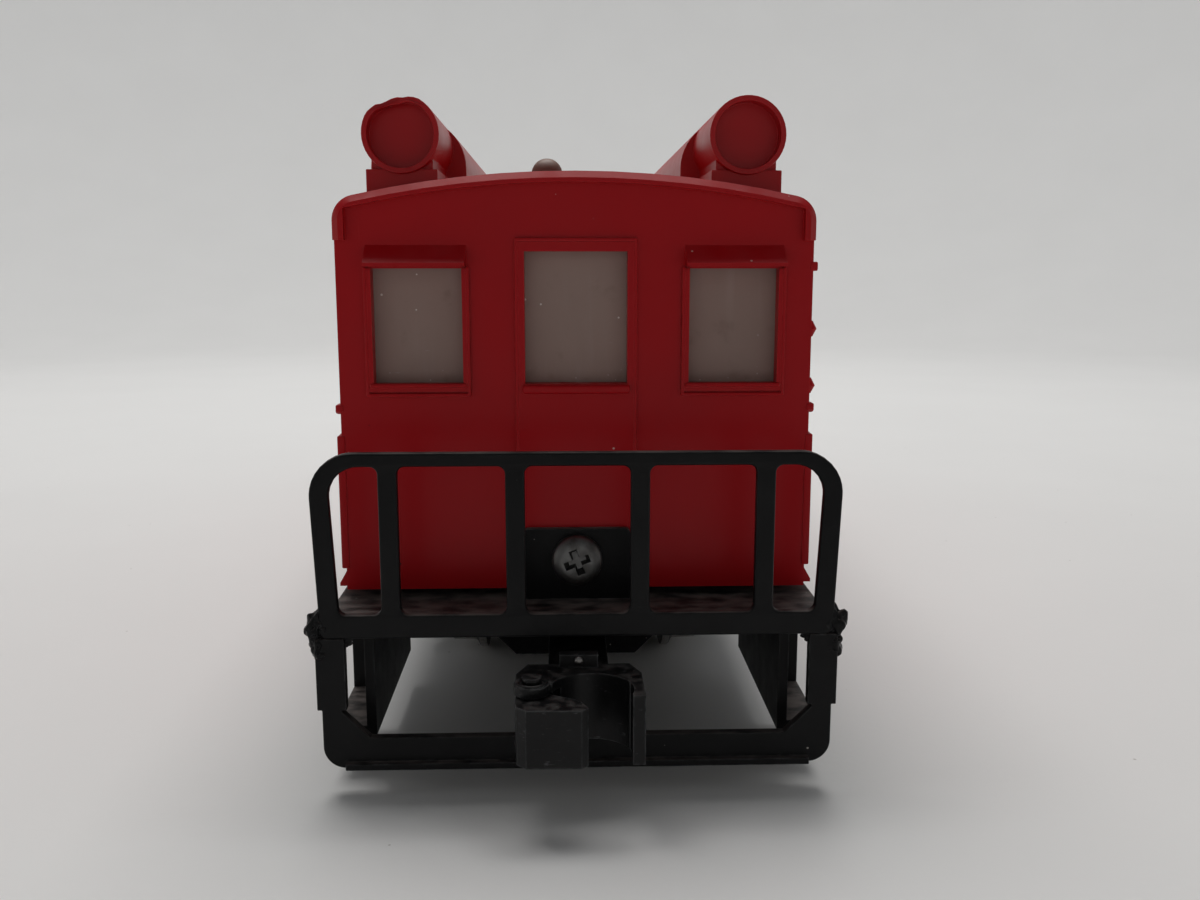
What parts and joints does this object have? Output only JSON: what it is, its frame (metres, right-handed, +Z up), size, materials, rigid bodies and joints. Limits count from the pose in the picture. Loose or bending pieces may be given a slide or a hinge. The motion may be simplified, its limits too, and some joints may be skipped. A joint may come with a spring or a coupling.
{
  "type": "model diesel locomotive",
  "caption": "Toy-train boxcab locomotive with a moulded body, roof tanks, end railings, swivelling trucks, geared motor, sprung pickup roller and knuckle couplers.",
  "frame": {"origin": "on the table under the wheels, midway between the ends and the sides", "axes": "+Z up, the front end towards -Y, +X to the right seen from the front"},
  "size_m": [0.0608, 0.2292, 0.0812],
  "materials": {
    "red_moulding": "moulded red plastic, dusty and rubbed at the edges",
    "brown_moulding": "brown plastic",
    "window_sheet": "thin frosted sheet, dusty",
    "black_sheet_metal": "black paint with rubbed edges",
    "black_casting": "blackened die casting",
    "wheel_metal": "turned treads, dark faces",
    "bright_steel": "plain steel",
    "spring_steel": "blued spring steel",
    "gear_steel": "oiled steel",
    "gear_brass": "oiled brass",
    "laminations": "stacked laminations",
    "copper_winding": "varnished copper wire",
    "phenolic": "brown phenolic sheet",
    "carbon": "carbon",
    "grey_iron": "rough grey iron",
    "lamp_brass": "dull brass",
    "lamp_glass": "clear glass"
  },
  "bodies": {
    "locomotive": {"body_shell": "red_moulding", "roof_tank_right": "red_moulding", "roof_tank_left": "red_moulding", "exhaust_stack": "brown_moulding", "front_glazing": "window_sheet", "rear_glazing": "window_sheet", "right_glazing": "window_sheet", "left_glazing": "window_sheet", "chassis_frame": "black_sheet_metal", "front_railing": "black_sheet_metal", "rear_railing": "black_sheet_metal", "front_pilot": "black_sheet_metal", "rear_pilot": "black_sheet_metal", "body_screws": "bright_steel", "front_kingpin": "bright_steel", "motor_bridge": "bright_steel", "ballast_weight": "grey_iron", "reversing_unit": "phenolic", "lamp_socket": "lamp_brass", "lamp_bulb": "lamp_glass"},
    "reversing_lever": {"reversing_lever": "bright_steel"},
    "front_truck": {"front_truck_frame": "black_sheet_metal", "front_side_frames": "black_casting", "front_coupler_rivet": "bright_steel", "collector_pivot": "bright_steel", "collector_spring": "spring_steel"},
    "collector_arm": {"collector_arm": "spring_steel", "roller_pin": "bright_steel"},
    "collector_roller": {"collector_roller": "bright_steel"},
    "wheelset_1": {"wheels_1": "wheel_metal", "axle_1": "bright_steel"},
    "wheelset_2": {"wheels_2": "wheel_metal", "axle_2": "bright_steel"},
    "rear_truck": {"rear_truck_frame": "black_sheet_metal", "rear_side_frames": "black_casting", "rear_coupler_rivet": "bright_steel", "idler_stud": "bright_steel", "motor_field": "laminations", "field_coil": "copper_winding", "brush_plate": "phenolic", "brushes": "carbon", "motor_stud": "bright_steel"},
    "wheelset_3": {"wheels_3": "wheel_metal", "axle_3": "bright_steel", "axle_gear_3": "gear_steel"},
    "wheelset_4": {"wheels_4": "wheel_metal", "axle_4": "bright_steel", "axle_gear_4": "gear_steel"},
    "idler": {"idler_gear": "gear_brass"},
    "armature": {"armature": "laminations", "commutator": "copper_winding", "pinion": "gear_brass"},
    "front_coupler": {"front_coupler": "black_casting", "front_knuckle_pin": "bright_steel"},
    "front_knuckle": {"front_knuckle": "black_casting"},
    "rear_coupler": {"rear_coupler": "black_casting", "rear_knuckle_pin": "bright_steel"},
    "rear_knuckle": {"rear_knuckle": "black_casting"}
  },
  "joints": [
    {"name": "front_truck_swivel", "type": "hinge", "parent": "locomotive", "child": "front_truck", "pos_m": [0, -0.037, 0.016], "axis": [0, 0, 1], "range_deg": [-8, 8]},
    {"name": "rear_truck_swivel", "type": "hinge", "parent": "locomotive", "child": "rear_truck", "pos_m": [0, 0.037, 0.016], "axis": [0, 0, 1], "range_deg": [-8, 8]},
    {"name": "axle_1_spin", "type": "hinge", "parent": "front_truck", "child": "wheelset_1", "pos_m": [0, -0.051, 0.0093], "axis": [1, 0, 0], "continuous": true},
    {"name": "axle_2_spin", "type": "hinge", "parent": "front_truck", "child": "wheelset_2", "pos_m": [0, -0.023, 0.0093], "axis": [1, 0, 0], "continuous": true},
    {"name": "axle_3_spin", "type": "hinge", "parent": "rear_truck", "child": "wheelset_3", "pos_m": [0, 0.023, 0.0093], "axis": [1, 0, 0], "continuous": true},
    {"name": "axle_4_spin", "type": "hinge", "parent": "rear_truck", "child": "wheelset_4", "pos_m": [0, 0.051, 0.0093], "axis": [1, 0, 0], "continuous": true},
    {"name": "idler_spin", "type": "hinge", "parent": "rear_truck", "child": "idler", "pos_m": [0, 0.037, 0.0093], "axis": [1, 0, 0], "continuous": true},
    {"name": "armature_spin", "type": "hinge", "parent": "rear_truck", "child": "armature", "pos_m": [0, 0.037, 0.0198], "axis": [1, 0, 0], "continuous": true},
    {"name": "collector_lift", "type": "hinge", "parent": "front_truck", "child": "collector_arm", "pos_m": [0, -0.028, 0.0128], "axis": [-1, 0, 0], "range_deg": [0, 10], "stiffness_Nm_per_rad": 0.002, "springref_deg": -11.46, "deforming": ["collector_spring"]},
    {"name": "roller_spin", "type": "hinge", "parent": "collector_arm", "child": "collector_roller", "pos_m": [0, -0.041, 0.0039], "axis": [1, 0, 0], "continuous": true},
    {"name": "front_coupler_swing", "type": "hinge", "parent": "front_truck", "child": "front_coupler", "pos_m": [0, -0.08, 0.0137], "axis": [0, 0, 1], "range_deg": [-10, 10]},
    {"name": "rear_coupler_swing", "type": "hinge", "parent": "rear_truck", "child": "rear_coupler", "pos_m": [0, 0.08, 0.0137], "axis": [0, 0, 1], "range_deg": [-10, 10]},
    {"name": "front_knuckle_open", "type": "hinge", "parent": "front_coupler", "child": "front_knuckle", "pos_m": [-0.0052, -0.1098, 0.0121], "axis": [0, 0, -1], "range_deg": [0, 35]},
    {"name": "rear_knuckle_open", "type": "hinge", "parent": "rear_coupler", "child": "rear_knuckle", "pos_m": [0.0052, 0.1098, 0.0121], "axis": [0, 0, -1], "range_deg": [0, 35]},
    {"name": "reversing_lever_tilt", "type": "hinge", "parent": "locomotive", "child": "reversing_lever", "pos_m": [0, 0, 0.0245], "axis": [1, 0, 0], "range_deg": [-14, 14]}
  ],
  "couplings": [
    {"joint": "axle_4_spin", "follows": "axle_3_spin", "ratio": 1},
    {"joint": "idler_spin", "follows": "axle_3_spin", "ratio": -1},
    {"joint": "armature_spin", "follows": "axle_3_spin", "ratio": 2}
  ]
}
